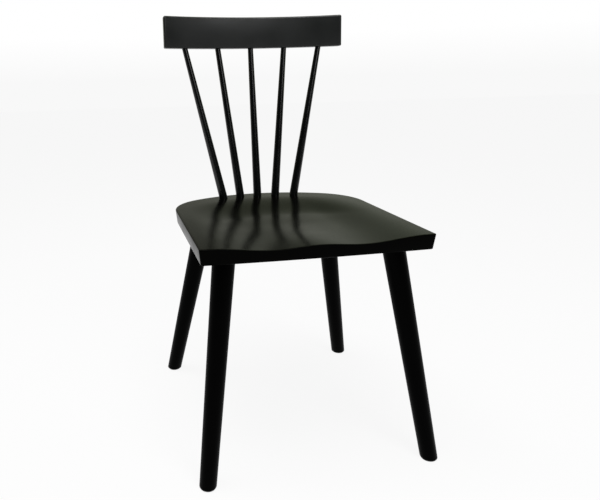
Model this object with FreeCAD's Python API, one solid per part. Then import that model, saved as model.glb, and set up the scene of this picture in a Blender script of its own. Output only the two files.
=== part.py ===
import FreeCAD, Part
import math
import os

# Windsor side chair with a carved plank seat, five spindles and a bent crest rail.
# Lengths are in mm. X runs across the chair, the front looks towards -Y and Z is up.
# Every piece is one solid and is written to its own file in the folder "parts".
os.makedirs("parts", exist_ok=True)
V = FreeCAD.Vector

# Seat: the rim height and outline set the size of the whole chair
seat_height = 450.0
seat_thickness = 30.5
seat_half_width = 224.3
seat_front = -211.5
front_bow = 4.5
seat_back = 259.0
back_edge_radius = 330.0
back_corner_radius = 125.0
front_corner_radius = 4.0
seat_undercut = 3.5
seat_edge_round = 2.0

# Glue joints between the five seat boards, as half distances from the middle
inner_joint = 68.0
outer_joint = 125.0

# Carved hollow of the seat: two thigh hollows that meet behind a low ridge
hollow_centre = 86.0
hollow_reach = 121.0
hollow_depth_front = 8.9
hollow_depth_middle = 11.0
ridge_height = 4.7
ridge_length = 200.0
hollow_fade = 160.0
hollow_gap_to_spindles = 14.0

# Legs: straight tapered turnings, splayed both ways, the back pair a little stouter
front_leg_top_radius = 22.0
front_leg_foot_radius = 16.2
back_leg_top_radius = 22.8
back_leg_foot_radius = 17.0
front_leg_top_x = 168.0
front_leg_top_y = -152.5
front_leg_foot_x = 221.5
back_leg_top_x = 149.2
back_leg_top_y = 154.5
back_leg_foot_x = 226.8
foot_half_length = 233.5
foot_chamfer = 1.2

# Round tenon of a leg, with a hardwood wedge driven into its split end
leg_tenon_radius = 14.0
leg_tenon_length = 20.0
wedge_length = 13.0
wedge_thin = 1.2
wedge_thick = 3.6

# Spindles: straight tapers, leaning back and fanned out towards the rail
spindle_seat_radius = 10.2
spindle_rail_radius = 6.7
spindle_inset = 24.3
spindle_seat_spacing = 45.3
spindle_rail_spacing = 85.0
spindle_seat_tenon_radius = 7.0
spindle_seat_tenon_length = 20.0
spindle_rail_tenon_radius = 4.8
spindle_rail_tenon_length = 28.0

# Crest rail: a board bent to an arc in plan, hollow side to the sitter
rail_bottom = 814.0
rail_height = 75.0
rail_lean_angle = 2.2
rail_thickness = 22.0
rail_radius = 690.0
rail_middle_y = 298.5
rail_half_length = 222.6
rail_end_round = 5.0
rail_top_round = 4.5
rail_bottom_round = 2.5
pin_radius = 2.0
pin_height = 13.0
pin_past_tenon = 7.0
pinned_spindles = (1, 3, 5)

# Nylon glide under each foot, held by one nail
glide_radius = 14.8
glide_thickness = 2.4
glide_chamfer = 0.5
nail_radius = 1.5
nail_length = 16.0
nail_head_radius = 4.0
nail_head_thickness = 1.0
nail_head_recess = 1.3

# Play for glue round a tenon and below its end
glue_play = 0.1
end_play = 1.0
tenon_chamfer = 1.0

# Derived heights and the centres of the plan arcs
seat_underside = seat_height - seat_thickness
back_arc_centre_y = seat_back - back_edge_radius
spindle_arc_radius = back_edge_radius - spindle_inset
rail_arc_centre_y = rail_middle_y - rail_radius
# The rail is drawn upright and then leans back about the middle of its lower side
rail_pivot = V(0, rail_middle_y, rail_bottom)
rail_turn = FreeCAD.Rotation(V(1, 0, 0), -rail_lean_angle)
# Room past the outside of the chair for cutting blocks, and a length too small to matter
reach = 2.0 * (seat_half_width + seat_back)
near = 0.01


def smooth(t):
    """Eased step from 0 at t=0 to 1 at t=1, level at both ends."""
    t = max(0.0, min(1.0, t))
    return t * t * (3.0 - 2.0 * t)


def half_wave(t):
    """Eased fall from 1 at t=0 to 0 at t=1."""
    t = max(0.0, min(1.0, t))
    return 0.5 * (1.0 + math.cos(math.pi * t))


def spindle_arc_y(x):
    """Y of the arc through the spindle feet, which runs level with the back edge of the seat."""
    inside = max(0.0, spindle_arc_radius ** 2 - x * x)
    return back_arc_centre_y + math.sqrt(inside)


def seat_carving(x, y):
    """Depth of the carved hollow below the rim at one point of the seat."""
    across = half_wave((abs(x) - hollow_centre) / hollow_reach)
    border = spindle_arc_y(x) - spindle_seat_radius - hollow_gap_to_spindles
    behind = smooth((border - y) / hollow_fade)
    deeper = smooth((y - seat_front) / ridge_length)
    depth = hollow_depth_front + (hollow_depth_middle - hollow_depth_front) * deeper
    ridge = ridge_height * half_wave(abs(x) / hollow_centre) * (1.0 - deeper)
    return (depth * across - ridge) * behind


def round_corner(arc_centre_y, arc_radius, corner_radius, way):
    """Three points of a corner between the straight side and the front or back arc, in plan.

    way is 1 for the back of the seat and -1 for the front."""
    corner_x = seat_half_width - corner_radius
    swing = arc_radius - corner_radius
    rise = math.sqrt(swing ** 2 - corner_x ** 2)
    corner_y = arc_centre_y + way * rise
    turn = math.atan2(rise, corner_x)
    points = []
    for angle in (0.0, turn / 2.0, turn):
        x = corner_x + corner_radius * math.cos(angle)
        y = corner_y + way * corner_radius * math.sin(angle)
        points.append((x, y))
    return points


def seat_outline(z):
    """Closed plan outline of the seat at the rim, drawn at height z."""
    front_radius = (seat_half_width ** 2 + front_bow ** 2) / (2.0 * front_bow)
    front_tip = seat_front - front_bow
    front = round_corner(front_tip + front_radius, front_radius, front_corner_radius, -1)
    back = round_corner(back_arc_centre_y, back_edge_radius, back_corner_radius, 1)

    def right(point):
        return V(point[0], point[1], z)

    def left(point):
        return V(-point[0], point[1], z)

    run = [
        Part.Arc(left(front[2]), V(0, front_tip, z), right(front[2])),
        Part.Arc(right(front[2]), right(front[1]), right(front[0])),
        Part.LineSegment(right(front[0]), right(back[0])),
        Part.Arc(right(back[0]), right(back[1]), right(back[2])),
        Part.Arc(right(back[2]), V(0, seat_back, z), left(back[2])),
        Part.Arc(left(back[2]), left(back[1]), left(back[0])),
        Part.LineSegment(left(back[0]), left(front[0])),
        Part.Arc(left(front[0]), left(front[1]), left(front[2])),
    ]
    return Part.Wire([piece.toShape() for piece in run])


def seat_blank():
    """Seat plank with sloping sides, taller than the finished seat."""
    spare = 10.0
    slope = seat_undercut / seat_thickness
    bottom = seat_outline(seat_underside).makeOffset2D(-seat_undercut)
    top = seat_outline(seat_height + spare).makeOffset2D(slope * spare)
    return Part.makeLoft([bottom, top], True, True)


def carving_block():
    """Block above the carved top, cut away from the plank."""
    step = 12.0
    spread_x = int(math.ceil((seat_half_width + 2.0 * step) / step))
    first_y = seat_front - front_bow - 2.0 * step
    rows = int(math.ceil((seat_back + 2.0 * step - first_y) / step))
    grid = []
    for i in range(-spread_x, spread_x + 1):
        line = []
        for j in range(rows + 1):
            x = i * step
            y = first_y + j * step
            line.append(V(x, y, seat_height - seat_carving(x, y)))
        grid.append(line)
    surface = Part.BSplineSurface()
    surface.interpolate(grid)
    return surface.toShape().extrude(V(0, 0, seat_thickness))


def rounded_rim(seat):
    """Seat with its top and bottom edges eased all the way round."""
    middle = seat_underside + seat_thickness / 2.0
    lower = [edge for edge in seat.Edges if edge.BoundBox.ZMax < seat_underside + near]
    upper = [edge for edge in seat.Edges if edge.BoundBox.ZMin > middle]
    return seat.makeFillet(seat_edge_round, lower + upper)


def block_between(low, high):
    """Wide block between two heights, for trimming leaning pieces."""
    return Part.makeBox(2.0 * reach, 2.0 * reach, high - low, V(-reach, -reach, low))


def slab_between(left, right):
    """Wide block between two X positions, for parting the seat into boards."""
    return Part.makeBox(right - left, 2.0 * reach, 2.0 * reach, V(left, -reach, -reach))


def point_at_height(start, end, z):
    """Point at height z on the straight line through start and end."""
    return start + (end - start) * ((z - start.z) / (end.z - start.z))


def taper(start, end, start_radius, end_radius):
    """Straight tapered turning that runs past both of its ends."""
    run = end - start
    length = run.Length
    spare = 2.0 * max(start_radius, end_radius)
    growth = (end_radius - start_radius) / length
    run.normalize()
    first = start_radius - growth * spare
    last = end_radius + growth * spare
    return Part.makeCone(first, last, length + 2.0 * spare, start - run * spare, run)


def tenon(shoulder, direction, radius, length):
    """Round tenon with an eased end; its root reaches back into the piece that carries it."""
    root = radius
    body = Part.makeCylinder(radius, root + length - tenon_chamfer, shoulder - direction * root, direction)
    tip_start = shoulder + direction * (length - tenon_chamfer)
    tip = Part.makeCone(radius, radius - tenon_chamfer, tenon_chamfer, tip_start, direction)
    return body.fuse(tip)


def mortise(shoulder, direction, radius, length):
    """Blind round hole for a tenon, with play for glue; it starts outside the wood."""
    lead = 2.0 * radius
    return Part.makeCylinder(
        radius + glue_play, lead + length + end_play, shoulder - direction * lead, direction
    )


def lean_back(shape):
    """Turn an upright shape back by the lean of the crest rail."""
    shape.rotate(rail_pivot, rail_turn.Axis, math.degrees(rail_turn.Angle))
    return shape


def one_solid(shape):
    """The single solid of a boolean result, its split faces joined again."""
    return shape.removeSplitter().Solids[0]


# Left is -1 and right is 1, as seen by someone who stands in front of the chair
sides = {"left": -1, "right": 1}
legs = {}
leg_radii = {}
for side_name, side in sides.items():
    legs["front_" + side_name] = (
        V(side * front_leg_foot_x, -foot_half_length, 0),
        V(side * front_leg_top_x, front_leg_top_y, seat_underside),
    )
    leg_radii["front_" + side_name] = (front_leg_foot_radius, front_leg_top_radius)
    legs["back_" + side_name] = (
        V(side * back_leg_foot_x, foot_half_length, 0),
        V(side * back_leg_top_x, back_leg_top_y, seat_underside),
    )
    leg_radii["back_" + side_name] = (back_leg_foot_radius, back_leg_top_radius)

# Foot of each spindle on the seat, head under the rail, and the way out through the rail there
spindles = {}
rail_outwards = {}
for place in range(-2, 3):
    foot_x = place * spindle_seat_spacing
    head_x = place * spindle_rail_spacing
    radial = V(head_x, math.sqrt(rail_radius ** 2 - head_x ** 2), 0)
    head = V(0, rail_arc_centre_y, rail_bottom) + radial
    spindles[place + 3] = (
        V(foot_x, spindle_arc_y(foot_x), seat_height),
        rail_pivot + rail_turn.multVec(head - rail_pivot),
    )
    rail_outwards[place + 3] = rail_turn.multVec(radial.normalize())


def leg_direction(name):
    foot, top = legs[name]
    return (top - foot).normalize()


def spindle_direction(number):
    foot, head = spindles[number]
    return (head - foot).normalize()


def leg_blank(name):
    """Tapered leg cut level at the glide and at the seat, with the tenon on top."""
    foot, top = legs[name]
    foot_radius, top_radius = leg_radii[name]
    body = taper(foot, top, foot_radius, top_radius)
    body = body.common(block_between(glide_thickness, seat_underside))
    sole = [edge for edge in body.Edges if edge.BoundBox.ZMax < glide_thickness + near]
    body = body.makeChamfer(foot_chamfer, sole)
    return one_solid(body.fuse(tenon(top, leg_direction(name), leg_tenon_radius, leg_tenon_length)))


def wedge_block(name):
    """Wedge shape in the end of a leg tenon, thick at the end and set across the seat boards."""
    along = leg_direction(name)
    sideways = (V(1, 0, 0) - along * along.x).normalize()
    spread = along.cross(sideways)
    end = legs[name][1] + along * leg_tenon_length
    tip = end - along * wedge_length
    corner = sideways * (-leg_tenon_radius)
    outline = [
        end + corner + spread * (wedge_thick / 2.0),
        end + corner - spread * (wedge_thick / 2.0),
        tip + corner - spread * (wedge_thin / 2.0),
        tip + corner + spread * (wedge_thin / 2.0),
    ]
    face = Part.Face(Part.makePolygon(outline + outline[:1]))
    return face.extrude(sideways * (2.0 * leg_tenon_radius))


def glide_nail(name):
    """Nail with a flat head and a pointed shank, driven up into the foot."""
    foot, top = legs[name]
    centre = point_at_height(foot, top, glide_thickness)
    head_top = V(centre.x, centre.y, nail_head_recess)
    up = V(0, 0, 1)
    point_length = 2.0 * nail_radius
    head = Part.makeCylinder(nail_head_radius, nail_head_thickness, head_top - up * nail_head_thickness)
    shank = Part.makeCylinder(nail_radius, nail_length - point_length, head_top)
    point_start = head_top + up * (nail_length - point_length)
    point = Part.makeCone(nail_radius, nail_radius / 4.0, point_length, point_start)
    return one_solid(head.fuse([shank, point]))


def glide_pad(name):
    """Round nylon pad with a recess that hides the nail head."""
    foot, top = legs[name]
    centre = point_at_height(foot, top, glide_thickness)
    base = V(centre.x, centre.y, 0)
    pad = Part.makeCylinder(glide_radius, glide_thickness, base)
    tread = [edge for edge in pad.Edges if edge.BoundBox.ZMax < glide_chamfer]
    pad = pad.makeChamfer(glide_chamfer, tread)
    recess = Part.makeCylinder(nail_head_radius + glue_play, nail_head_recess, base)
    return one_solid(pad.cut(recess).cut(glide_nail(name)))


def spindle_blank(number):
    """Tapered spindle cut to the seat and to the rail, with a tenon at each end."""
    foot, head = spindles[number]
    up = spindle_direction(number)
    body = taper(foot, head, spindle_seat_radius, spindle_rail_radius)
    body = body.common(block_between(seat_height, rail_bottom + rail_height))
    body = body.cut(lean_back(block_between(rail_bottom, rail_bottom + reach)))
    low = tenon(foot, up * -1.0, spindle_seat_tenon_radius, spindle_seat_tenon_length)
    high = tenon(head, up, spindle_rail_tenon_radius, spindle_rail_tenon_length)
    return one_solid(body.fuse([low, high]))


def rail_blank():
    """Bent board with rounded ends and edges, leaning slightly back."""
    corners = []
    for radius in (rail_radius - rail_thickness / 2.0, rail_radius + rail_thickness / 2.0):
        end_y = rail_arc_centre_y + math.sqrt(radius ** 2 - rail_half_length ** 2)
        left = V(-rail_half_length, end_y, rail_bottom)
        middle = V(0, rail_arc_centre_y + radius, rail_bottom)
        right = V(rail_half_length, end_y, rail_bottom)
        corners.append((left, middle, right))
    front, back = corners
    outline = [
        Part.Arc(front[0], front[1], front[2]),
        Part.LineSegment(front[2], back[2]),
        Part.Arc(back[2], back[1], back[0]),
        Part.LineSegment(back[0], front[0]),
    ]
    face = Part.Face(Part.Wire([piece.toShape() for piece in outline]))
    rail = face.extrude(V(0, 0, rail_height))
    ends = [edge for edge in rail.Edges if edge.BoundBox.ZLength > rail_height / 2.0]
    rail = rail.makeFillet(rail_end_round, ends)
    upper = [edge for edge in rail.Edges if edge.BoundBox.ZMin > rail_bottom + rail_height - near]
    rail = rail.makeFillet(rail_top_round, upper)
    lower = [edge for edge in rail.Edges if edge.BoundBox.ZMax < rail_bottom + near]
    rail = rail.makeFillet(rail_bottom_round, lower)
    return lean_back(rail)


def pin_rod(number):
    """Rod from behind the rail into a spindle tenon, square to the bend of the rail."""
    outwards = rail_outwards[number]
    centre = spindles[number][1] + spindle_direction(number) * pin_height
    inner_end = centre - outwards * pin_past_tenon
    return Part.makeCylinder(pin_radius, rail_thickness + pin_past_tenon, inner_end, outwards)


def carved_seat():
    """Whole seat, carved, eased and drilled for the legs and the spindles."""
    seat = rounded_rim(seat_blank().cut(carving_block()))
    holes = []
    for name in legs:
        holes.append(mortise(legs[name][1], leg_direction(name), leg_tenon_radius, leg_tenon_length))
    for number in spindles:
        down = spindle_direction(number) * -1.0
        foot = spindles[number][0]
        holes.append(mortise(foot, down, spindle_seat_tenon_radius, spindle_seat_tenon_length))
    return seat.cut(holes)


pieces = {}

# Seat boards, numbered from the left
seat = carved_seat()
joints = [-reach, -outer_joint, -inner_joint, inner_joint, outer_joint, reach]
for number in range(len(joints) - 1):
    board = seat.common(slab_between(joints[number], joints[number + 1]))
    pieces["seat_board_%d" % (number + 1)] = one_solid(board)

# Legs with their wedges, glides and nails
for name in legs:
    leg = leg_blank(name)
    wedge = wedge_block(name)
    nail = glide_nail(name)
    pieces["leg_wedge_" + name] = one_solid(leg.common(wedge))
    pieces["leg_" + name] = one_solid(leg.cut(wedge).cut(nail))
    pieces["glide_" + name] = glide_pad(name)
    pieces["glide_nail_" + name] = nail

# Crest rail, spindles and the pins that lock them together
rail = rail_blank()
rail_holes = []
for number in spindles:
    spindle = spindle_blank(number)
    head = spindles[number][1]
    up = spindle_direction(number)
    rail_holes.append(mortise(head, up, spindle_rail_tenon_radius, spindle_rail_tenon_length))
    if number in pinned_spindles:
        rod = pin_rod(number)
        rail_holes.append(rod)
        pieces["rail_pin_%d" % number] = one_solid(rod.common(rail))
        spindle = spindle.cut(rod)
    pieces["spindle_%d" % number] = one_solid(spindle)
pieces["crest_rail"] = one_solid(rail.cut(rail_holes))

# The origin sits on the floor under the middle of the chair
whole = Part.makeCompound(list(pieces.values())).optimalBoundingBox()
to_middle = V(0, -(whole.YMin + whole.YMax) / 2.0, 0)
for name, piece in pieces.items():
    piece.translate(to_middle)
    piece.exportStep("parts/%s.step" % name)
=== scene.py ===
# %% [markdown]
# # A black spindle-back chair, dressed for its picture
#
# The construction model already holds every piece of this chair at its real size: the carved
# plank seat, four splayed legs, five spindles and the bent crest rail. Here those pieces get
# the softened edges, the lacquer and the light that the eye expects. The construction model
# stays fixed as the frame, and each new piece is built in metres in the same place.

# %% Load the construction model
import bmesh
import bpy
import math
from mathutils import Matrix, Vector


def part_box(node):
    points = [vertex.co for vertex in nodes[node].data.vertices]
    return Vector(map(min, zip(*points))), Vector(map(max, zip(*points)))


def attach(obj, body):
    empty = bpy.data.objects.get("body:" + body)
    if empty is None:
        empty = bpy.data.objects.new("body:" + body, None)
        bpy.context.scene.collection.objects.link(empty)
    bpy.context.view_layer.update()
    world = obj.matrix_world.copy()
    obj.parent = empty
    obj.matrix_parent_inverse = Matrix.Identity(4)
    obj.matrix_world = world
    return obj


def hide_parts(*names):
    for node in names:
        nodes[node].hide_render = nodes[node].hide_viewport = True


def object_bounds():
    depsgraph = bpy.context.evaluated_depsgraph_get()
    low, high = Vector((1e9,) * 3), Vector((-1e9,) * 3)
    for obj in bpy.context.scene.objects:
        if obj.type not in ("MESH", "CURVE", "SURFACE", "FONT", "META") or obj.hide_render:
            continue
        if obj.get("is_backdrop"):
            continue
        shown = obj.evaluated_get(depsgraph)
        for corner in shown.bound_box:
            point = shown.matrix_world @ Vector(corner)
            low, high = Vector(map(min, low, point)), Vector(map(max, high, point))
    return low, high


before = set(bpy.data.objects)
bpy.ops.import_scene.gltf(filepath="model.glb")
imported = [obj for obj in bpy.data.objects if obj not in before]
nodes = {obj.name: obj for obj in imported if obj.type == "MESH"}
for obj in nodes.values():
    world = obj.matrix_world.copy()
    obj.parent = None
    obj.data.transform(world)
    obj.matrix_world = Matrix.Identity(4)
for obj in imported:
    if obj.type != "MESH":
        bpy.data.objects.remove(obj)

cad_low, cad_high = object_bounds()
print("construction pieces:", len(nodes))
print("box in mm:", [round(1000 * side) for side in cad_high - cad_low])

# %% [markdown]
# A chair maker thinks in millimetres and the scene counts in metres, so sizes are written in
# millimetres and multiplied by `mm`. The middle of the four foot glides tells where the
# middle of the leg layout lies, and every other place is measured from there.

# %% Units and the middle of the chair
mm = 0.001
corners = ["front_left", "front_right", "back_left", "back_right"]


def middle_of(node):
    """Middle of the box round a construction piece, in metres."""
    low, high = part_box(node)
    return (low + high) / 2


layout_y = sum(middle_of("glide_" + corner).y for corner in corners) / len(corners)
print("leg layout is centred at y =", round(layout_y / mm, 2), "mm")


def at(x, y, z):
    """Point in metres from millimetres measured on the chair's own layout."""
    return Vector((x * mm, y * mm + layout_y, z * mm))


# %% [markdown]
# The camera stands about 1.2 m away, to the left of the chair and a little lower than its
# crest rail. Its place, its turn and its focal length were fitted together, until the outlines
# of seat, legs and rail fell where the picture has them. In the picture the chair lies to the
# right of the lens axis and mostly below it. So the lens is shifted, and the camera isn't
# turned to the chair: a turn would change how the legs converge.

# %% Camera
picture_width = 600
picture_height = 500
focal_pixels = 579.6
# Where the lens axis meets the picture, in pixels from its top left corner
lens_axis = (199.25, 197.6)
camera_place = at(-375.1, -1167.0, 741.8)
camera_turn = math.radians(-9.13)
camera_pitch = math.radians(11.56)
camera_roll = math.radians(-1.35)

camera_data = bpy.data.cameras.new("camera")
camera = bpy.data.objects.new("camera", camera_data)
bpy.context.scene.collection.objects.link(camera)
camera_data.sensor_width = 36.0
camera_data.lens = focal_pixels / picture_width * camera_data.sensor_width
camera_data.shift_x = (picture_width / 2 - lens_axis[0]) / picture_width
camera_data.shift_y = (lens_axis[1] - picture_height / 2) / picture_width

forward = Vector((
    -math.sin(camera_turn) * math.cos(camera_pitch),
    math.cos(camera_turn) * math.cos(camera_pitch),
    -math.sin(camera_pitch),
))
level_right = Vector((math.cos(camera_turn), math.sin(camera_turn), 0.0))
level_up = level_right.cross(forward)
right = level_right * math.cos(camera_roll) + level_up * math.sin(camera_roll)
up = level_up * math.cos(camera_roll) - level_right * math.sin(camera_roll)
axes = Matrix((right, up, -forward)).transposed().to_4x4()
camera.matrix_world = Matrix.Translation(camera_place) @ axes
bpy.context.scene.camera = camera
print("lens", round(camera_data.lens, 1), "mm")
print("shift", round(camera_data.shift_x, 3), round(camera_data.shift_y, 3))

# %% [markdown]
# Each material is a small network of nodes. One helper turns a colour written as a web hex
# value into the linear numbers that shaders use, and one adds a node with its settings and
# its links, so that each finish can be read from top to bottom like a recipe.

# %% Helpers for materials


def linear(hex_colour):
    """Linear red, green, blue and alpha of an sRGB colour written as #rrggbb."""
    parts = [int(hex_colour[i:i + 2], 16) / 255 for i in (1, 3, 5)]
    return [c / 12.92 if c <= 0.04045 else ((c + 0.055) / 1.055) ** 2.4 for c in parts] + [1.0]


def add(tree, kind, settings=None, links=None):
    """Add a node; settings name or number its sockets, or name properties; links feed sockets."""
    node = tree.nodes.new(kind)
    for name, value in (settings or {}).items():
        if isinstance(name, int) or name in node.inputs:
            node.inputs[name].default_value = value
        else:
            setattr(node, name, value)
    for name, output in (links or {}).items():
        tree.links.new(output, node.inputs[name])
    return node


def new_material(name):
    """Empty material: the material, its tree, its output node and its object coordinates."""
    material = bpy.data.materials.new(name)
    material.use_nodes = True
    tree = material.node_tree
    tree.nodes.clear()
    output = add(tree, "ShaderNodeOutputMaterial")
    place = add(tree, "ShaderNodeTexCoord").outputs["Object"]
    return material, tree, output, place


print("middle grey #808080 in linear light:", round(linear("#808080")[0], 3))

# %% [markdown]
# The chair is beech under a black satin lacquer. Sprayed lacquer levels out, so the surface
# shows only a faint orange peel about 2 mm across, and the long fibres of the wood below
# telegraph through as very shallow streaks. Real fibres are finer than these streaks, which
# are drawn coarser so that they show. Satin is never quite even either: the sheen drifts a
# little over patches as wide as a hand.
#
# The eye reads such a finish from its reflections: nearly black where the surface faces us,
# pale grey where we look along it. The rail and the spindles mirror as lacquer does, with an
# optical index near 1.5. The seat and the legs mirror far less in the picture, so theirs is
# set lower until their tones match. That is a fit to this one picture, since real lacquer has
# the same index all over. One function makes all four, so that they stay kin.

# %% Black satin lacquer on beech
grain_width = 1.6 * mm
grain_length = 60 * mm
peel_size = 2.2 * mm
sheen_patch = 71.43 * mm
film_relief = 0.2 * mm


def lacquered_beech(name, along, thin_film_and_light, thick_film_and_light, index, smoothest, dullest):
    """Lacquer over fibres that run along axis 0, 1 or 2 of the chair.

    Thin and thick film give its two blacks, which each part also sets lighter or darker as
    painted light or shade; its roughness drifts from smoothest to dullest.
    """
    material, tree, output, place = new_material(name)
    stretch = [1 / grain_width] * 3
    stretch[along] = 1 / grain_length
    streaks = add(tree, "ShaderNodeMapping", {"Scale": stretch}, {"Vector": place})
    fibre = add(tree, "ShaderNodeTexNoise", {"Scale": 1.0, "Detail": 3.0, "Roughness": 0.55},
                {"Vector": streaks.outputs["Vector"]})
    peel = add(tree, "ShaderNodeTexNoise", {"Scale": 1 / peel_size, "Detail": 1.0},
               {"Vector": place})
    patch = add(tree, "ShaderNodeTexNoise", {"Scale": 1 / sheen_patch, "Detail": 2.0},
                {"Vector": place})
    # The film is a touch thinner over some fibres, which lifts the black very slightly there
    colour = add(tree, "ShaderNodeMix",
                 {"data_type": "RGBA", 6: linear(thin_film_and_light), 7: linear(thick_film_and_light)},
                 {0: fibre.outputs["Fac"]})
    # Noise lies mostly between 0.3 and 0.7, and that range is spread over the sheen
    gloss = add(tree, "ShaderNodeMapRange",
                {"From Min": 0.3, "From Max": 0.7, "To Min": smoothest, "To Max": dullest},
                {"Value": patch.outputs["Fac"]})
    grain_bump = add(tree, "ShaderNodeBump", {"Strength": 0.06, "Distance": film_relief},
                     {"Height": fibre.outputs["Fac"]})
    peel_bump = add(tree, "ShaderNodeBump", {"Strength": 0.05, "Distance": film_relief},
                    {"Height": peel.outputs["Fac"], "Normal": grain_bump.outputs["Normal"]})
    shader = add(tree, "ShaderNodeBsdfPrincipled", {"IOR": index},
                 {"Base Color": colour.outputs[2], "Roughness": gloss.outputs["Result"],
                  "Normal": peel_bump.outputs["Normal"]})
    tree.links.new(shader.outputs["BSDF"], output.inputs["Surface"])
    return material


# The chair is one black lacquer, but each part's two blacks are set to match its tone in this
# light: the rail's lighter, greenish black is painted light, and the legs' deepest black is
# painted shade.
rail_lacquer = lacquered_beech("black_satin_lacquer_rail", 0, "#080b0a", "#060807",
                               index=1.5, smoothest=0.32, dullest=0.4)
seat_lacquer = lacquered_beech("black_satin_lacquer_seat", 1, "#040403", "#020202",
                               index=1.075, smoothest=0.18, dullest=0.24)
spindle_lacquer = lacquered_beech("black_satin_lacquer_spindle", 2, "#040404", "#020202",
                                  index=1.44, smoothest=0.2, dullest=0.28)
leg_lacquer = lacquered_beech("black_satin_lacquer_leg", 2, "#030303", "#010101",
                              index=1.08, smoothest=0.3, dullest=0.4)
print("lacquers:", [m.name for m in (rail_lacquer, seat_lacquer, spindle_lacquer, leg_lacquer)])

# %% [markdown]
# The hidden and half-hidden pieces have their own finishes. The wedges in the leg tenons are
# bare beech, sawn and left as it is: matte, pinkish brown, with short darker ray flecks that
# run upwards. Noise stretched along one axis draws such flecks.

# %% Bare beech
fleck_size = 0.7 * mm
fleck_slimness = 10


def bare_beech():
    """Unfinished pinkish beech with its short darker ray flecks."""
    material, tree, output, place = new_material("bare_beech")
    across = 1 / fleck_size
    flecks = add(tree, "ShaderNodeMapping", {"Scale": (across, across, across / fleck_slimness)},
                 {"Vector": place})
    fleck = add(tree, "ShaderNodeTexNoise", {"Scale": 1.0, "Detail": 2.0},
                {"Vector": flecks.outputs["Vector"]})
    colour = add(tree, "ShaderNodeMix",
                 {"data_type": "RGBA", 6: linear("#c99e73"), 7: linear("#a9794f")},
                 {0: fleck.outputs["Fac"]})
    shader = add(tree, "ShaderNodeBsdfPrincipled", {"IOR": 1.5, "Roughness": 0.65},
                 {"Base Color": colour.outputs[2]})
    tree.links.new(shader.outputs["BSDF"], output.inputs["Surface"])
    return material


beech = bare_beech()
print(beech.name, "with flecks", fleck_size / mm, "mm wide")

# %% [markdown]
# The glides under the feet are moulded nylon. A spark-eroded mould leaves fine pits in it,
# which make its black dull. Real pits are finer still; here they are drawn half a millimetre
# wide, so that they show from close by.

# %% Moulded nylon
pit_size = 0.5 * mm
pit_depth = 0.1 * mm


def moulded_nylon():
    """Black nylon with the fine spark-eroded texture of its mould."""
    material, tree, output, place = new_material("moulded_nylon")
    pits = add(tree, "ShaderNodeTexNoise", {"Scale": 1 / pit_size, "Detail": 2.0},
               {"Vector": place})
    colour = add(tree, "ShaderNodeMix",
                 {"data_type": "RGBA", 6: linear("#141414"), 7: linear("#1f1f1f")},
                 {0: pits.outputs["Fac"]})
    bump = add(tree, "ShaderNodeBump", {"Strength": 0.2, "Distance": pit_depth},
               {"Height": pits.outputs["Fac"]})
    shader = add(tree, "ShaderNodeBsdfPrincipled", {"IOR": 1.53, "Roughness": 0.55},
                 {"Base Color": colour.outputs[2], "Normal": bump.outputs["Normal"]})
    tree.links.new(shader.outputs["BSDF"], output.inputs["Surface"])
    return material


nylon = moulded_nylon()
print(nylon.name, "with pits", pit_size / mm, "mm wide")

# %% [markdown]
# The nails that hold the glides are steel wire with a thin coat of zinc. The coat is bright
# metal, and faint crystals a millimetre or so across make its gloss uneven.

# %% Zinc-plated steel
spangle_size = 1.2 * mm


def zinc_plated_steel():
    """Bright steel nail under a thin zinc coat with faint crystals."""
    material, tree, output, place = new_material("zinc_plated_steel")
    spangle = add(tree, "ShaderNodeTexVoronoi", {"Scale": 1 / spangle_size}, {"Vector": place})
    gloss = add(tree, "ShaderNodeMapRange", {"To Min": 0.28, "To Max": 0.42},
                {"Value": spangle.outputs["Distance"]})
    colour = add(tree, "ShaderNodeMix",
                 {"data_type": "RGBA", 6: linear("#b9bcc0"), 7: linear("#9a9da1")},
                 {0: spangle.outputs["Distance"]})
    shader = add(tree, "ShaderNodeBsdfPrincipled", {"Metallic": 1.0},
                 {"Base Color": colour.outputs[2], "Roughness": gloss.outputs["Result"]})
    tree.links.new(shader.outputs["BSDF"], output.inputs["Surface"])
    return material


zinc = zinc_plated_steel()
print(zinc.name, "with crystals", spangle_size / mm, "mm wide")

# %% [markdown]
# No edge of a lacquered chair is sharp: sandpaper and the film itself round them all. One
# helper eases edges with a bevel. A second one finishes every new piece in the same way: its
# mesh is shaded smooth with crisp lines where faces turn sharply, it takes one material, it
# rides on the chair's one rigid body, and it stands in for the construction pieces it covers.

# %% Easing edges and finishing a piece
crisp_angle = math.radians(40)


def soften(mesh, edges, radius, segments):
    """Round edges by a radius in millimetres."""
    bmesh.ops.bevel(mesh, geom=edges, offset=radius * mm, segments=segments, profile=0.5,
                    affect="EDGES", material=-1)


def finish_piece(name, mesh, material, stands_for):
    """Make the object, its material and its place in the chair; the bmesh is used up."""
    bmesh.ops.recalc_face_normals(mesh, faces=mesh.faces)
    data = bpy.data.meshes.new(name)
    mesh.to_mesh(data)
    mesh.free()
    data.shade_smooth()
    data.set_sharp_from_angle(angle=crisp_angle)
    data.materials.append(material)
    piece = bpy.data.objects.new(name, data)
    bpy.context.scene.collection.objects.link(piece)
    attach(piece, "root")
    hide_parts(*stands_for)
    print(name, "faces:", len(data.polygons), "for", len(stands_for), "construction piece(s)")


print("edges turn crisp above", round(math.degrees(crisp_angle)), "degrees")

# %% [markdown]
# The seat is the piece the eye rests on. On the real chair it is a plank of glued boards: the
# outline is sawn, the sides are planed to slope in underneath, and a carving head hollows the
# top. The hollow is two thigh scoops that run out through the front edge with a low ridge
# between them, and it rises gently to a level rim behind, where the spindles stand.
#
# It could be sculpted, but a formula for the depth keeps both halves alike, and the same
# formula can carve the construction model and this mesh.

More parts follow.
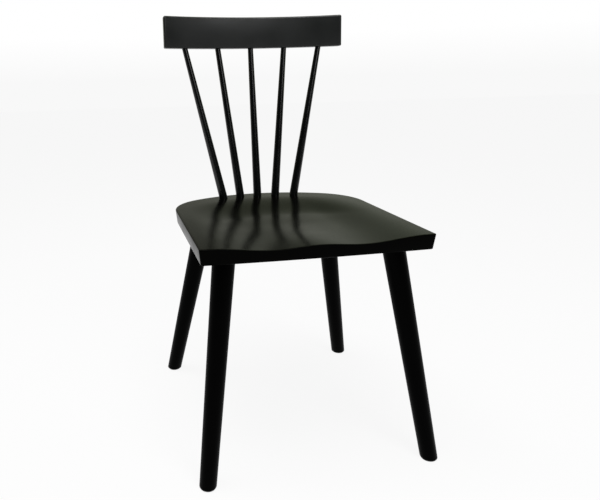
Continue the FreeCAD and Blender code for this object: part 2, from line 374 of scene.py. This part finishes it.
# %% Seat sizes and the carved depth
seat_height = 450.0
seat_thickness = 30.5
seat_half_width = 224.3
seat_front = -211.5
front_bow = 4.5
seat_back = 259.0
back_edge_radius = 330.0
back_corner_radius = 125.0
front_corner_radius = 4.0
seat_undercut = 3.5
spindle_inset = 24.3
spindle_seat_radius = 10.2
back_arc_centre = seat_back - back_edge_radius
spindle_arc_radius = back_edge_radius - spindle_inset
hollow_centre = 86.0
hollow_reach = 121.0
hollow_depth_front = 8.9
hollow_depth_middle = 11.0
ridge_height = 4.7
ridge_length = 200.0
hollow_fade = 160.0
hollow_gap_to_spindles = 14.0


def smooth(t):
    """Eased step from 0 to 1."""
    t = max(0.0, min(1.0, t))
    return t * t * (3.0 - 2.0 * t)


def half_wave(t):
    """Eased fall from 1 to 0."""
    t = max(0.0, min(1.0, t))
    return 0.5 * (1.0 + math.cos(math.pi * t))


def spindle_arc_y(x):
    """Millimetres back to the arc through the spindle feet."""
    return back_arc_centre + math.sqrt(max(0.0, spindle_arc_radius ** 2 - x * x))


def carved_depth(x, y):
    """Depth in millimetres of the hollow below the rim."""
    across = half_wave((abs(x) - hollow_centre) / hollow_reach)
    border = spindle_arc_y(x) - spindle_seat_radius - hollow_gap_to_spindles
    behind = smooth((border - y) / hollow_fade)
    deeper = smooth((y - seat_front) / ridge_length)
    depth = hollow_depth_front + (hollow_depth_middle - hollow_depth_front) * deeper
    ridge = ridge_height * half_wave(abs(x) / hollow_centre) * (1.0 - deeper)
    return (depth * across - ridge) * behind


deepest = max(carved_depth(x, seat_front) for x in range(round(seat_half_width)))
print("deepest at the front edge:", round(deepest, 1), "mm")

# %% [markdown]
# The outline is walked once round with a point every few millimetres: the gently bowed front,
# the small front corners, the straight sides and the big round back corners that run into the
# back arc. Only the right half is worked out, and the left half mirrors it.

# %% Seat outline
outline_step = 6.0
steps_per_radius = 2.5


def arc_points(centre, radius, start, end):
    """Points on an arc in plan, from the start angle up to the end angle, its last left out."""
    step = min(outline_step, radius / steps_per_radius)
    count = max(2, round(abs(end - start) * radius / step))
    turns = [start + (end - start) * i / count for i in range(count)]
    return [(centre[0] + radius * math.cos(t), centre[1] + radius * math.sin(t)) for t in turns]


def corner_arc(centre_y, radius, corner_radius, way):
    """Centre and turn of a corner between the straight side and the front or back arc."""
    x = seat_half_width - corner_radius
    rise = math.sqrt((radius - corner_radius) ** 2 - x * x)
    return (x, centre_y + way * rise), way * math.atan2(rise, x)


def seat_outline():
    """Closed outline of the seat rim, anticlockwise from the middle of the front."""
    front_radius = (seat_half_width ** 2 + front_bow ** 2) / (2 * front_bow)
    front_centre = seat_front - front_bow + front_radius
    front_corner, front_turn = corner_arc(front_centre, front_radius, front_corner_radius, -1)
    back_corner, back_turn = corner_arc(back_arc_centre, back_edge_radius,
                                        back_corner_radius, 1)
    side_length = back_corner[1] - front_corner[1]
    steps = round(side_length / outline_step)
    half = arc_points((0.0, front_centre), front_radius, -math.pi / 2, front_turn)
    half += arc_points(front_corner, front_corner_radius, front_turn, 0.0)
    half += [(seat_half_width, front_corner[1] + side_length * i / steps) for i in range(steps)]
    half += arc_points(back_corner, back_corner_radius, 0.0, back_turn)
    half += arc_points((0.0, back_arc_centre), back_edge_radius, back_turn, math.pi / 2)
    mirrored = [(-x, y) for x, y in reversed(half[1:])]
    return half + [(0.0, seat_back)] + mirrored


outline = seat_outline()
print("points round the seat:", len(outline))

# %% [markdown]
# The plank grows from its rim, as a ring of edges laid on the outline. Rings extruded from it
# and drawn in towards the middle give rows of four-sided faces that follow the edge, which
# shade better than a cut grid would. Then each point of the top sinks by the carved depth, a
# last ring goes down and in for the sloping side, and the rims above and below are eased.

# %% Carved seat
seat_edge_round = 2.0
seat_edge_segments = 3
seat_middle_y = 20.0
first_ring = 0.975
second_ring = 0.94
ring_step = 0.03
ring_count = 31


def layout_place(vert):
    """Place of a vertex in millimetres on the chair's layout."""
    return vert.co.x / mm, (vert.co.y - layout_y) / mm, vert.co.z / mm


def draw_in(mesh, verts, share):
    """Shrink points in plan towards the middle of the seat."""
    to_centre = Matrix.Translation(-at(0.0, seat_middle_y, 0.0))
    bmesh.ops.scale(mesh, vec=(share, share, 1.0), verts=verts, space=to_centre)


def extrude_ring(mesh, edges):
    """A new ring from a ring of edges: its points and its edges."""
    made = bmesh.ops.extrude_edge_only(mesh, edges=edges)["geom"]
    verts = [item for item in made if isinstance(item, bmesh.types.BMVert)]
    kept = [item for item in made if isinstance(item, bmesh.types.BMEdge)]
    ring = [edge for edge in kept if edge.verts[0] in verts and edge.verts[1] in verts]
    return verts, ring


def carved_seat():
    """Carved top in rings, then the sloping side, the underside and soft edges."""
    mesh = bmesh.new()
    rim = bmesh.ops.create_circle(mesh, segments=len(outline), radius=1.0)["verts"]
    for vert, (x, y) in zip(rim, outline):
        vert.co = at(x, y, seat_height)
    rim_edges = list(mesh.edges)
    edges = rim_edges
    last = 1.0
    for share in [first_ring] + [second_ring - ring_step * i for i in range(ring_count)]:
        verts, edges = extrude_ring(mesh, edges)
        draw_in(mesh, verts, share / last)
        last = share
    bmesh.ops.pointmerge(mesh, verts=verts, merge_co=at(0.0, seat_middle_y, seat_height))
    for vert in mesh.verts:
        x, y, _ = layout_place(vert)
        vert.co.z = (seat_height - carved_depth(x, y)) * mm
    lower, lower_edges = extrude_ring(mesh, rim_edges)
    for vert in lower:
        vert.co.z = (seat_height - seat_thickness) * mm
    # Where the hollow runs out through the front, the rim is lower and so lies further in
    inward = seat_undercut / (seat_thickness * seat_half_width)
    draw_in(mesh, lower, 1.0 - seat_thickness * inward)
    for vert in rim:
        draw_in(mesh, [vert], 1.0 - (seat_height - layout_place(vert)[2]) * inward)
    bmesh.ops.contextual_create(mesh, geom=lower_edges)
    soften(mesh, rim_edges + lower_edges, seat_edge_round, seat_edge_segments)
    return mesh


seat_boards = ["seat_board_%d" % (i + 1) for i in range(5)]
finish_piece("seat", carved_seat(), seat_lacquer, seat_boards)

# %% [markdown]
# Legs and spindles are turned on a lathe to a plain taper, so a cone is the honest way to make
# them: it is laid along the line from foot to head, run long at both ends and cut off flat.
# The legs splay outwards and to the front or back. They are cut level under the seat and at
# the glide, and the edge of the sole is eased so that the wood does not chip.

# %% Legs
turned_sides = 64
leg_spare = 40.0
foot_half_length = 233.5
# Foot and top in plan, then the radius at each, in millimetres; the back pair is stouter
leg_lines = {
    "front": ((221.5, -foot_half_length), (168.0, -152.5), 16.2, 22.0),
    "back": ((226.8, foot_half_length), (149.2, 154.5), 17.0, 22.8),
}
glide_thickness = 2.4
foot_chamfer = 1.2
foot_segments = 3


def turning(start, end, start_radius, end_radius, spare):
    """Long cone on the line from start to end; radii and spare length are in millimetres."""
    mesh = bmesh.new()
    run = end - start
    growth = (end_radius - start_radius) / run.length
    turn = Vector((0, 0, 1)).rotation_difference(run).to_matrix().to_4x4()
    bmesh.ops.create_cone(mesh, cap_ends=True, segments=turned_sides,
                          radius1=(start_radius - growth * spare * mm) * mm,
                          radius2=(end_radius + growth * spare * mm) * mm,
                          depth=run.length + 2 * spare * mm,
                          matrix=Matrix.Translation((start + end) / 2) @ turn)
    return mesh


def cut_off(mesh, place, normal):
    """Cut away what lies beyond a plane and close the cut; the new edges are returned."""
    cut = bmesh.ops.bisect_plane(mesh, geom=mesh.verts[:] + mesh.edges[:] + mesh.faces[:],
                                 plane_co=place, plane_no=normal, clear_outer=True)["geom_cut"]
    edges = [item for item in cut if isinstance(item, bmesh.types.BMEdge)]
    bmesh.ops.contextual_create(mesh, geom=edges)
    return edges


for corner in corners:
    end_name, side_name = corner.split("_")
    side = -1 if side_name == "left" else 1
    foot, top, foot_radius, top_radius = leg_lines[end_name]
    underside = seat_height - seat_thickness
    mesh = turning(at(side * foot[0], foot[1], 0.0), at(side * top[0], top[1], underside),
                   foot_radius, top_radius, leg_spare)
    cut_off(mesh, at(0, 0, underside), (0, 0, 1))
    sole = cut_off(mesh, at(0, 0, glide_thickness), (0, 0, -1))
    soften(mesh, sole, foot_chamfer, foot_segments)
    finish_piece("leg_turned_" + corner, mesh, leg_lacquer,
                 ["leg_" + corner])

# %% [markdown]
# The spindles are the same kind of turning, thick at the seat and slim at the rail. They lean
# back and fan out, so each one has its own line from an arc on the seat to the arc under the
# rail. On the real chair they end in tenons inside their holes; here each runs a millimetre
# into the seat and the rail, so that no light shows where they meet.

# %% Spindles
spindle_rail_radius = 6.7
spindle_seat_spacing = 45.3
spindle_rail_spacing = 85.0
spindle_spare = 20.0
overlap = 1.0
rail_bottom = 814.0
rail_height = 75.0
rail_thickness = 22.0
rail_radius = 690.0
rail_middle_y = 298.5
rail_lean = math.radians(2.2)
rail_arc_centre = rail_middle_y - rail_radius

lean_back = Matrix.Rotation(-rail_lean, 4, "X")
rail_pivot = at(0, rail_middle_y, rail_bottom)
leaning = Matrix.Translation(rail_pivot) @ lean_back @ Matrix.Translation(-rail_pivot)
rail_up = lean_back.to_3x3() @ Vector((0, 0, 1))

spindle_heads = {}
for number in range(1, 6):
    from_middle = number - 3
    foot_x = from_middle * spindle_seat_spacing
    foot = at(foot_x, spindle_arc_y(foot_x), seat_height)
    head_x = from_middle * spindle_rail_spacing
    head_y = rail_arc_centre + math.sqrt(rail_radius ** 2 - head_x ** 2)
    head = leaning @ at(head_x, head_y, rail_bottom)
    spindle_heads[number] = (head, (head - foot).normalized())
    mesh = turning(foot, head, spindle_seat_radius, spindle_rail_radius, spindle_spare)
    cut_off(mesh, at(0, 0, seat_height - overlap), (0, 0, -1))
    cut_off(mesh, rail_pivot + rail_up * overlap * mm, rail_up)
    finish_piece("spindle_turned_%d" % number, mesh, spindle_lacquer,
                 ["spindle_%d" % number])

# %% [markdown]
# The crest rail is a board steamed and bent round a form, then leaned back on the spindles.
# Its edges are eased by hand, more at the ends and along the top where hands take hold of
# it, and less underneath. A straight bevelled board is cut into short lengths and
# each point is moved onto the arc, just as the steamed board takes the curve of its form.

# %% Bent crest rail
rail_half_length = 222.6
rail_end_round = 5.0
rail_top_round = 4.5
rail_bottom_round = 2.5
rail_edge_segments = 6
bend_step = 6.0
# A point this close to the top or the bottom of the board counts as lying on it
near = 0.01


def rail_board():
    """Straight board with eased edges, cut into short lengths, bent and leaned back."""
    mesh = bmesh.new()
    sides = Matrix.Diagonal((2 * rail_half_length * mm, rail_thickness * mm,
                             rail_height * mm, 1.0))
    bmesh.ops.create_cube(mesh, size=1.0, matrix=sides)
    half = rail_height / 2 * mm
    upright = [edge for edge in mesh.edges
               if abs(edge.verts[0].co.z - edge.verts[1].co.z) > half]
    soften(mesh, upright, rail_end_round, rail_edge_segments)
    for way, radius in ((1, rail_top_round), (-1, rail_bottom_round)):
        level = [edge for edge in mesh.edges
                 if all(way * vert.co.z > half - near * mm for vert in edge.verts)]
        soften(mesh, level, radius, rail_edge_segments)
    steps = round(2 * rail_half_length / bend_step)
    for i in range(1, steps):
        x = rail_half_length * (2 * i / steps - 1)
        bmesh.ops.bisect_plane(mesh, geom=mesh.verts[:] + mesh.edges[:] + mesh.faces[:],
                               plane_co=(x * mm, 0, 0), plane_no=(1, 0, 0))
    for vert in mesh.verts:
        x, depth = vert.co.x / mm, vert.co.y / mm
        y = rail_arc_centre + math.sqrt((rail_radius + depth) ** 2 - x * x)
        vert.co = at(x, y, rail_bottom + rail_height / 2 + vert.co.z / mm)
    bmesh.ops.transform(mesh, matrix=leaning, verts=mesh.verts)
    return mesh


finish_piece("bent_crest_rail", rail_board(), rail_lacquer,
             ["crest_rail"])

# %% [markdown]
# Three thin pins, driven in from behind, lock the outer and the middle spindles in the rail.
# They are sanded nearly level before the lacquer goes on, and afterwards stand a hair proud
# because the rail shrinks across its grain and the pins do not. A short turned plug with a
# soft edge shows this; the rest of the pin is buried in the wood.

# %% Pin heads behind the rail
pin_radius = 2.0
pin_height = 13.0
pin_proud = 0.25
plug_length = 4.0
plug_sides = 32
plug_edge_round = 0.5
plug_edge_segments = 3
pinned_spindles = (1, 3, 5)

for number in pinned_spindles:
    head, direction = spindle_heads[number]
    # The pin crosses the spindle a little above the rail's lower side, square to the bend
    upright_place = leaning.inverted() @ (head + direction * pin_height * mm)
    radial = upright_place - at(0, rail_arc_centre, 0)
    radial.z = 0.0
    outwards = radial.normalized()
    to_back = (rail_radius + rail_thickness / 2) * mm - radial.length
    surface = upright_place + outwards * to_back
    middle = leaning @ (surface + outwards * (pin_proud - plug_length / 2) * mm)
    turn = (lean_back.to_3x3() @ outwards).to_track_quat("Z", "Y").to_matrix().to_4x4()
    mesh = bmesh.new()
    bmesh.ops.create_cone(mesh, cap_ends=True, segments=plug_sides,
                          radius1=pin_radius * mm, radius2=pin_radius * mm,
                          depth=plug_length * mm, matrix=Matrix.Translation(middle) @ turn)
    ends = [edge for edge in mesh.edges
            if len([face for face in edge.link_faces if len(face.verts) > 4]) == 1]
    soften(mesh, ends, plug_edge_round, plug_edge_segments)
    finish_piece("pin_head_%d" % number, mesh, rail_lacquer,
                 ["rail_pin_%d" % number])

# %% [markdown]
# The glides, their nails and the wedges keep the shapes of the construction model, which are
# plain moulded, drawn and sawn parts. They only take their own materials.

# %% Small parts kept from the construction model
kept = {"glide_nail_": zinc, "glide_": nylon, "leg_wedge_": beech}


def dress(node, material):
    """Give a construction piece one material in place of what it came with."""
    slots = nodes[node].material_slots
    if not slots:
        nodes[node].data.materials.append(material)
    for entry in slots:
        entry.material = material


for corner in corners:
    for prefix, material in kept.items():
        dress(prefix + corner, material)
print("dressed:", [prefix + corner for prefix in kept for corner in corners])

# %% [markdown]
# The picture is a plain product shot, white all round. A white floor under enough light to
# look white would also flood the chair, so the floor glows, but only for the camera and for
# mirrors; light that travels on to the chair sees plain white paint. A tenth of what the
# camera sees is still the shaded paint. It keeps a faint shadow under the chair, which tells
# the eye that the chair stands on something.

# %% White floor that keeps the shadow
bpy.context.scene.view_settings.view_transform = "Standard"
white = (1.0, 1.0, 1.0, 1.0)
floor_half = 15.0
floor_paint = "#f6f6f6"
floor_glow = 0.9

floor_mesh = bmesh.new()
bmesh.ops.create_grid(floor_mesh, x_segments=1, y_segments=1, size=floor_half)
floor_data = bpy.data.meshes.new("floor")
floor_mesh.to_mesh(floor_data)
floor_mesh.free()
floor = bpy.data.objects.new("floor", floor_data)
bpy.context.scene.collection.objects.link(floor)
floor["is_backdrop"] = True


def seen_rays(tree):
    """1 for rays from the camera, mirrors and glass, 0 for rays that carry light."""
    rays = add(tree, "ShaderNodeLightPath").outputs
    mirrors = add(tree, "ShaderNodeMath", {"operation": "MAXIMUM"},
                  {0: rays["Is Glossy Ray"], 1: rays["Is Transmission Ray"]})
    seen = add(tree, "ShaderNodeMath", {"operation": "MAXIMUM"},
               {0: rays["Is Camera Ray"], 1: mirrors.outputs["Value"]})
    return seen.outputs["Value"]


floor_material, tree, output, _ = new_material("white_floor")
paint = add(tree, "ShaderNodeBsdfDiffuse", {"Color": linear(floor_paint)})
glow = add(tree, "ShaderNodeEmission", {"Color": white, "Strength": 1.0})
share = add(tree, "ShaderNodeMath", {"operation": "MULTIPLY", 1: floor_glow},
            {0: seen_rays(tree)})
blend = add(tree, "ShaderNodeMixShader", {},
            {0: share.outputs["Value"], 1: paint.outputs["BSDF"], 2: glow.outputs["Emission"]})
tree.links.new(blend.outputs["Shader"], output.inputs["Surface"])
floor_data.materials.append(floor_material)
print("floor:", 2 * floor_half, "m square")

# %% [markdown]
# A black chair is drawn by what it mirrors. The seat is seen at a low angle and mirrors the
# wall behind it: white at the foot, dimmer and greenish above, bright again on the right
# where a window is. Modelled walls would cast shadows and take up room, so the wall is
# painted in the world shader. A direction's Z tells how high a ray looks, and its X tells
# how far to the left or the right.

# %% Wall behind the chair
wall_top = math.sin(math.radians(10))
wall_foot_top = 0.4 * wall_top
wall_fade = math.sin(math.radians(22))
wall_foot = "#f8f8f8"
above_wall = "#a8aa98"
window_light = "#f5ffe8"
window_from = math.sin(math.radians(8))
window_to = math.sin(math.radians(25))

world = bpy.data.worlds.new("studio")
bpy.context.scene.world = world
world.use_nodes = True
tree = world.node_tree
tree.nodes.clear()
direction = add(tree, "ShaderNodeTexCoord").outputs["Generated"]
towards = add(tree, "ShaderNodeSeparateXYZ", {}, {"Vector": direction}).outputs

foot_share = add(tree, "ShaderNodeMapRange", {"From Max": wall_foot_top},
                 {"Value": towards["Z"]})
lower = add(tree, "ShaderNodeMix", {"data_type": "RGBA", 6: linear(wall_foot), 7: white},
            {0: foot_share.outputs["Result"]})
window_share = add(tree, "ShaderNodeMapRange",
                   {"From Min": window_from, "From Max": window_to}, {"Value": towards["X"]})
above = add(tree, "ShaderNodeMix",
            {"data_type": "RGBA", 6: linear(above_wall), 7: linear(window_light)},
            {0: window_share.outputs["Result"]})
fade = add(tree, "ShaderNodeMapRange", {"From Min": wall_top, "From Max": wall_fade},
           {"Value": towards["Z"]})
wall_colour = add(tree, "ShaderNodeMix", {"data_type": "RGBA"},
                  {0: fade.outputs["Result"], 6: lower.outputs[2], 7: above.outputs[2]})
print("white wall up to", round(math.degrees(math.asin(wall_top))), "degrees")

# %% [markdown]
# Three kinds of rays meet this world. The camera sees the wall as it is. Mirrors see it a
# little tinted, and dimmer on the left, away from the window. Where a surface faces the
# camera it mirrors the unlit end of the studio, which keeps the legs and the front edge of
# the seat black. Rays that carry light see only an even, plain grey room.

# %% Mirrored wall and plain room
room_level = 0.3
right_wall = "#fbffee"
left_wall = "#bfc0b1"
unlit_end = "#293230"
unlit_edge = 0.2

mirror_rays = add(tree, "ShaderNodeLightPath").outputs["Is Glossy Ray"]
left_share = add(tree, "ShaderNodeMapRange",
                 {"From Min": window_to, "From Max": -window_from}, {"Value": towards["X"]})
tint = add(tree, "ShaderNodeMix",
           {"data_type": "RGBA", 6: linear(right_wall), 7: linear(left_wall)},
           {0: left_share.outputs["Result"]})
mirrored_wall = add(tree, "ShaderNodeMix", {"data_type": "RGBA", "blend_type": "MULTIPLY"},
                    {0: mirror_rays, 6: wall_colour.outputs[2], 7: tint.outputs[2]})

# The unlit end lies behind the camera, at low Y
back_share = add(tree, "ShaderNodeMapRange", {"From Min": unlit_edge, "From Max": -unlit_edge},
                 {"Value": towards["Y"]})
unlit = add(tree, "ShaderNodeMath", {"operation": "MULTIPLY"},
            {0: back_share.outputs["Result"], 1: mirror_rays})
seen_room = add(tree, "ShaderNodeMix", {"data_type": "RGBA", 7: linear(unlit_end)},
                {0: unlit.outputs["Value"], 6: mirrored_wall.outputs[2]})
wall = add(tree, "ShaderNodeBackground", {"Strength": 1.0}, {"Color": seen_room.outputs[2]})
room = add(tree, "ShaderNodeBackground", {"Color": white, "Strength": room_level})
choice = add(tree, "ShaderNodeMixShader", {},
             {0: seen_rays(tree), 1: room.outputs["Background"], 2: wall.outputs["Background"]})
add(tree, "ShaderNodeOutputWorld", {}, {"Surface": choice.outputs["Shader"]})
print("room light level:", room_level)

# %% [markdown]
# Two softboxes do the rest. One stands in front, high and to the right: the slim spindles
# mirror it as a streak that is brightest under the rail, and it gives the face of the rail its
# soft grey. One hangs from the ceiling and lifts the rounded top edge of the rail a little
# above its face. Both are large, as they are in a studio, so their shadows have no hard
# borders. Together with the room they light a level surface near the chair almost as brightly
# as its colour is written: a mid grey of 128 comes out near 118.

# %% Softboxes


def softbox(name, place, target, width, height, watts):
    """Large soft lamp aimed at a point; the places and sizes are in metres."""
    data = bpy.data.lights.new(name, "AREA")
    data.shape = "RECTANGLE"
    data.size = width
    data.size_y = height
    data.energy = watts
    lamp = bpy.data.objects.new(name, data)
    lamp.location = place
    aim = Vector(target) - Vector(place)
    lamp.rotation_euler = aim.to_track_quat("-Z", "Y").to_euler()
    bpy.context.scene.collection.objects.link(lamp)
    print(name, "of", width, "x", height, "m with", watts, "W")


softbox("front_softbox", place=(1.1, -2.6, 2.3), target=(0.0, 0.3, 0.7),
        width=1.3, height=1.1, watts=16.0)
softbox("ceiling_softbox", place=(-0.3, -0.3, 2.6), target=(0.0, 0.0, 0.5),
        width=2.4, height=0.8, watts=44.0)

# %% [markdown]
# Last, the box round the whole chair is measured again, now with the new pieces, and compared
# with the box of the construction model. A difference of far less than a millimetre shows
# that nothing has moved or grown.

# %% Check and finish
end_low, end_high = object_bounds()
change = max((end_low - cad_low).length, (end_high - cad_high).length)
print("box differs by", round(change / mm, 4), "mm")
